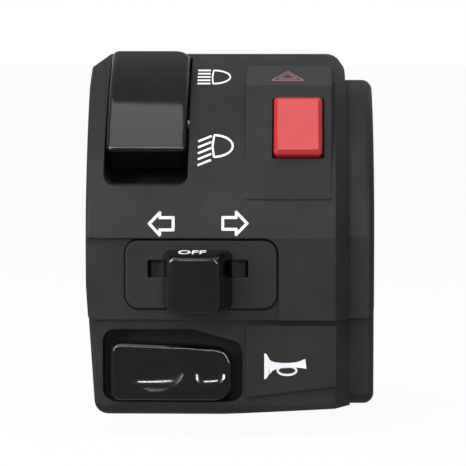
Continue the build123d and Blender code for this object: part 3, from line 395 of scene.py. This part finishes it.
def print_on(name, bars, ink, carrier="front_case", body="housing", along="Y", lift=INK_LIFT):
    """Joins the bars to one marking, lays it on the carrier and gives it an ink film's thickness."""
    marking = join_bars(name, bars)
    wrap = marking.modifiers.new("lay_on", "SHRINKWRAP")
    wrap.target = frame["nodes"][carrier]
    wrap.wrap_method = "PROJECT"
    wrap.wrap_mode = "ABOVE_SURFACE"
    wrap.use_project_y = along == "Y"
    wrap.use_project_z = along == "Z"
    wrap.use_positive_direction = along == "Y"
    wrap.use_negative_direction = along == "Z"
    wrap.offset = lift
    bpy.ops.object.modifier_apply(modifier="lay_on")
    film = marking.modifiers.new("film", "SOLIDIFY")
    film.thickness = INK_THICKNESS
    film.offset = 0
    bpy.ops.object.modifier_apply(modifier="film")
    marking.data.materials.append(ink)
    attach(marking, body)


def arc_points(centre, radius_x, radius_z, start, end, count):
    """Points along an ellipse's arc, with its angles in degrees from +X towards +Z."""
    angles = [radians(start + (end - start) * step / count) for step in range(count + 1)]
    return [(centre[0] + radius_x * cos(angle), centre[1] + radius_z * sin(angle)) for angle in angles]


def beam_marking(name, top_ray, ray_step, ray_left, ray_right, ray_drop, bowl_centre, bowl_size, line):
    """Five light rays with a headlamp's bowl at their right, its flat side a little bowed."""
    ray_count = 5
    bowl_steps = 14
    bow_share = 0.15
    bars = []
    for ray in range(ray_count):
        rise = top_ray - ray_step * ray
        bars += add_line([(ray_left, rise - ray_drop), (ray_right, rise)], line)
    bowl = arc_points(bowl_centre, *bowl_size, start=90, end=-90, count=bowl_steps)
    bowl.append((bowl_centre[0] - bow_share * bowl_size[1], bowl_centre[1]))
    bars += add_line(bowl, line, closed=True, run_on=CURVE_RUN_ON)
    print_on(name, bars, white_ink)


def arrow_marking(name, tip, head, shaft, shaft_half, middle):
    """The outline of a broad arrow from its tip over its head to its shaft's end."""
    head_half = 2.1
    line = 0.55
    points = [
        (tip, middle),
        (head, middle + head_half),
        (head, middle + shaft_half),
        (shaft, middle + shaft_half),
        (shaft, middle - shaft_half),
        (head, middle - shaft_half),
        (head, middle - head_half),
    ]
    print_on(name, add_line(points, line, closed=True), white_ink)


def hazard_marking():
    """A thin triangle inside another, on the pod's slope."""
    outer_triangle = [(10.24, 29.5), (13.37, 31.05), (16.45, 29.5)]
    inner_triangle = [(11.6, 29.8), (13.37, 30.65), (15.1, 29.8)]
    outer_line = 0.16
    inner_line = 0.14
    bars = add_line(outer_triangle, outer_line, closed=True)
    bars += add_line(inner_triangle, inner_line, closed=True)
    print_on("hazard_marking", bars, red_ink)


def horn_marking():
    """A horn from its bell over its tube to its mouthpiece, as columns of (x, middle, height)."""
    columns = [
        (9.05, -24.6, 4.95),
        (9.45, -24.6, 4.75),
        (9.95, -24.6, 3.1),
        (10.5, -24.55, 1.9),
        (11.2, -24.5, 1.35),
        (12.4, -24.45, 1.0),
        (13.9, -24.4, 0.9),
        (15.3, -24.3, 1.05),
        (16.3, -24.2, 1.5),
        (17.0, -24.1, 1.95),
    ]
    bars = []
    for left, right in zip(columns, columns[1:]):
        bars.append(add_bar(left[:2], right[:2], width=left[2], end_width=right[2]))
    print_on("horn_marking", bars, white_ink)


def horn_coil_marking():
    """The horn's coiled tube as an oval, printed over the straight one."""
    coil_steps = 24
    line = 0.42
    line_run_on = 0.06
    coil = arc_points((13.4, -25.4), radius_x=1.8, radius_z=0.85, start=0, end=360, count=coil_steps)
    bars = add_line(coil[:-1], line, closed=True, run_on=line_run_on)
    print_on("horn_coil_marking", bars, white_ink, lift=SECOND_INK_LIFT)


def knob_word():
    """The word OFF on the upper wall of the turn signal knob, read from the rider's side."""
    letter_spread = 3.05 * MM
    letter_depth = 6.4 * MM
    boldness = 0.02
    deselect_all()
    bpy.ops.object.text_add()
    word = bpy.context.object
    word.data.body = "OFF"
    word.data.offset = boldness
    word.data.align_x = "CENTER"
    word.data.align_y = "BOTTOM"
    bpy.ops.object.convert(target="MESH")
    word.scale = (letter_spread, letter_depth, 1)
    word.location = (-4.53 * MM, -38.75 * MM, 10 * MM)
    print_on("knob_word", [word], white_ink, carrier="turn_knob", body="turn_push", along="Z")


beam_marking(
    "high_beam_marking",
    top_ray=31.2,
    ray_step=0.62,
    ray_left=-4.35,
    ray_right=-2.0,
    ray_drop=0,
    bowl_centre=(-1.35, 29.95),
    bowl_size=(3.35, 1.25),
    line=0.28,
)
beam_marking(
    "low_beam_marking",
    top_ray=18.9,
    ray_step=1.1,
    ray_left=-3.7,
    ray_right=-1.4,
    ray_drop=0.9,
    bowl_centre=(-0.75, 17.1),
    bowl_size=(3.6, 2.0),
    line=0.38,
)
arrow_marking("left_arrow_marking", tip=-12.85, head=-10.85, shaft=-8.3, shaft_half=1.15, middle=2.7)
arrow_marking("right_arrow_marking", tip=5.75, head=3.7, shaft=1.15, shaft_half=1.1, middle=2.8)
hazard_marking()
horn_marking()
horn_coil_marking()
knob_word()


# Floor, world and lamps
def white_share(tree):
    """1 for rays from the camera, off gloss or through a clear piece, and 0 for the rest."""
    path = tree.nodes.new("ShaderNodeLightPath")
    mirrored = calculate(tree, "MAXIMUM", path.outputs["Is Glossy Ray"], path.outputs["Is Transmission Ray"])
    return calculate(tree, "MAXIMUM", path.outputs["Is Camera Ray"], mirrored)


def floor_material():
    """Pale floor that keeps a faint shadow of the object and is nearly as white as the world."""
    pale_grey = (0.86, 0.86, 0.86)
    paler_grey = (0.9, 0.9, 0.9)
    material, tree, shader, place = new_finish("studio_floor")
    cloud = noise(tree, place, size=300 * MM)
    colour = blend_colours(tree, spread(tree, cloud), pale_grey, paler_grey)
    tree.links.new(colour, shader.inputs["Base Color"])
    shader.inputs["Roughness"].default_value = 0.9
    shader.inputs["Specular IOR Level"].default_value = 0.1
    glow = tree.nodes.new("ShaderNodeEmission")
    mixer = tree.nodes.new("ShaderNodeMixShader")
    whiteness = spread(tree, white_share(tree), high=FLOOR_WHITENESS, start=0, end=1)
    tree.links.new(whiteness, mixer.inputs["Fac"])
    tree.links.new(shader.outputs["BSDF"], mixer.inputs[1])
    tree.links.new(glow.outputs["Emission"], mixer.inputs[2])
    tree.links.new(mixer.outputs["Shader"], tree.nodes["Material Output"].inputs["Surface"])
    return material


def lay_floor():
    """A wide floor just under the object."""
    deselect_all()
    bpy.ops.mesh.primitive_plane_add(size=FLOOR_SIZE, location=(0, 0, FLOOR_HEIGHT))
    floor = bpy.context.object
    floor.name = "studio_floor"
    floor.data.materials.append(floor_material())


def light_world():
    """White for the camera, in gloss and through clear pieces, and a soft light on the object."""
    world = bpy.data.worlds.new("studio")
    world.use_nodes = True
    scene.world = world
    tree = world.node_tree
    background = tree.nodes["Background"]
    background.inputs["Color"].default_value = (1, 1, 1, 1)
    level = spread(tree, white_share(tree), low=WORLD_LEVEL, high=1, start=0, end=1)
    tree.links.new(level, background.inputs["Strength"])


def add_lamp(name, place, size, power, roll=0, glint_only=False):
    """A softbox of a width and height at place, aimed at the object. A glint only shows in its gloss."""
    lamp = bpy.data.lights.new(name, "AREA")
    lamp.shape = "RECTANGLE"
    lamp.size, lamp.size_y = size
    lamp.energy = power
    holder = bpy.data.objects.new(name, lamp)
    holder.location = place
    holder.rotation_euler = (CAMERA_TARGET - Vector(place)).to_track_quat("-Z", "Y").to_euler()
    holder.rotation_euler.rotate_axis("Z", radians(roll))
    holder.visible_diffuse = not glint_only
    scene.collection.objects.link(holder)


lay_floor()
light_world()
add_lamp("top_softbox", place=(-0.06, -0.16, 0.29), size=(0.29, 0.29), power=1.35, roll=8)
add_lamp("left_softbox", place=(-0.4, -0.42, 0.2), size=(0.16, 0.2), power=0.8)
add_lamp("left_glint", place=(-0.25, -0.27, 0.1), size=(0.012, 0.26), power=4.4, glint_only=True)
add_lamp("right_glint", place=(0.22, -0.3, 0.1), size=(0.01, 0.26), power=2.4, glint_only=True)
add_lamp("front_glint", place=(-0.05, -0.6, 0.22), size=(0.5, 0.02), power=5.0, roll=6, glint_only=True)


# Camera
def place_camera():
    """The camera in front of the housing, aimed at its target."""
    camera_data = bpy.data.cameras.new("camera")
    camera_data.sensor_width = SENSOR_WIDTH
    camera_data.lens = SENSOR_WIDTH * CAMERA_DISTANCE / VIEW_WIDTH
    camera = bpy.data.objects.new("camera", camera_data)
    toward_camera = Vector(
        (
            sin(CAMERA_AZIMUTH) * cos(CAMERA_ELEVATION),
            -cos(CAMERA_AZIMUTH) * cos(CAMERA_ELEVATION),
            sin(CAMERA_ELEVATION),
        )
    )
    camera.location = CAMERA_TARGET + CAMERA_DISTANCE * toward_camera
    camera.rotation_euler = (-toward_camera).to_track_quat("-Z", "Y").to_euler()
    scene.collection.objects.link(camera)
    scene.camera = camera


place_camera()
scene.view_settings.view_transform = "Standard"
